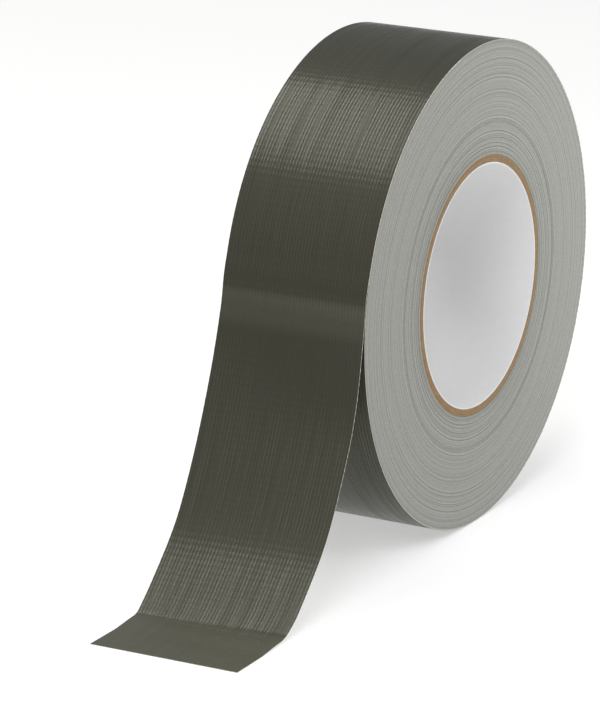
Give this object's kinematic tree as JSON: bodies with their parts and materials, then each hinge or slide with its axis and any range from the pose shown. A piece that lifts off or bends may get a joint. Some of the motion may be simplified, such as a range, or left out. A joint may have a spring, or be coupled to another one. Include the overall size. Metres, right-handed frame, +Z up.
{
  "type": "duct tape roll",
  "caption": "Full roll of dull olive-grey cloth tape on a paper core, standing on its rim, its free end peeled away and lying on the ground.",
  "frame": {"origin": "middle of the core's bore", "axes": "+Y along the core's axis; -X towards the free tail; +Z up, the roll standing on its rim"},
  "size_m": [0.2284, 0.048, 0.1529],
  "materials": {
    "core_liner_paper": "smooth white paper",
    "kraft_board": "cut edge of kraft board plies",
    "wound_tape_edge": "slit edges of the wound turns",
    "tape_film": "satin polyethylene film over woven cloth",
    "tape_cloth": "open plain-weave cotton cloth",
    "tape_adhesive": "tacky rubber adhesive with the cloth's print"
  },
  "bodies": {
    "roll": {"core_liner": "core_liner_paper", "core_ply_inner": "kraft_board", "core_ply_middle": "kraft_board", "core_ply_outer": "kraft_board", "wound_tape": "wound_tape_edge", "outer_turn_adhesive": "tape_adhesive", "outer_turn_cloth": "tape_cloth", "outer_turn_film": "tape_film"},
    "wrap_rear": {"wrap_rear_adhesive": "tape_adhesive", "wrap_rear_cloth": "tape_cloth", "wrap_rear_film": "tape_film"},
    "wrap_middle": {"wrap_middle_adhesive": "tape_adhesive", "wrap_middle_cloth": "tape_cloth", "wrap_middle_film": "tape_film"},
    "wrap_front": {"wrap_front_adhesive": "tape_adhesive", "wrap_front_cloth": "tape_cloth", "wrap_front_film": "tape_film"},
    "tail_upper": {"tail_upper_adhesive": "tape_adhesive", "tail_upper_cloth": "tape_cloth", "tail_upper_film": "tape_film"},
    "tail_middle": {"tail_middle_adhesive": "tape_adhesive", "tail_middle_cloth": "tape_cloth", "tail_middle_film": "tape_film"},
    "tail_lower": {"tail_lower_adhesive": "tape_adhesive", "tail_lower_cloth": "tape_cloth", "tail_lower_film": "tape_film"},
    "tail_foot": {"tail_foot_adhesive": "tape_adhesive", "tail_foot_cloth": "tape_cloth", "tail_foot_film": "tape_film"}
  },
  "joints": [
    {"name": "unwind_rear", "type": "hinge", "parent": "roll", "child": "wrap_rear", "pos_m": [-0.02487, 0, 0.07222], "axis": [0, 1, 0], "range_deg": [0, 20]},
    {"name": "unwind_middle", "type": "hinge", "parent": "wrap_rear", "child": "wrap_middle", "pos_m": [-0.04807, 0, 0.05936], "axis": [0, 1, 0], "range_deg": [0, 20]},
    {"name": "unwind_front", "type": "hinge", "parent": "wrap_middle", "child": "wrap_front", "pos_m": [-0.06547, 0, 0.03934], "axis": [0, 1, 0], "range_deg": [0, 20]},
    {"name": "tail_lift", "type": "hinge", "parent": "wrap_front", "child": "tail_upper", "pos_m": [-0.07498, 0, 0.01457], "axis": [0, 1, 0], "range_deg": [0, 110]},
    {"name": "tail_bend_middle", "type": "hinge", "parent": "tail_upper", "child": "tail_middle", "pos_m": [-0.08517, 0, -0.02198], "axis": [0, 1, 0], "range_deg": [-10, 0]},
    {"name": "tail_bend_lower", "type": "hinge", "parent": "tail_middle", "child": "tail_lower", "pos_m": [-0.09828, 0, -0.04887], "axis": [0, 1, 0], "range_deg": [-17, 0]},
    {"name": "tail_crease", "type": "hinge", "parent": "tail_lower", "child": "tail_foot", "pos_m": [-0.12294, 0, -0.07486], "axis": [0, 1, 0], "range_deg": [-35, 0]}
  ],
  "couplings": [
    {"joint": "unwind_middle", "follows": "unwind_rear", "ratio": 1},
    {"joint": "unwind_front", "follows": "unwind_rear", "ratio": 1},
    {"joint": "tail_bend_middle", "follows": "unwind_rear", "ratio": -0.5},
    {"joint": "tail_bend_lower", "follows": "unwind_rear", "ratio": -0.85},
    {"joint": "tail_crease", "follows": "unwind_rear", "ratio": -1.75}
  ]
}
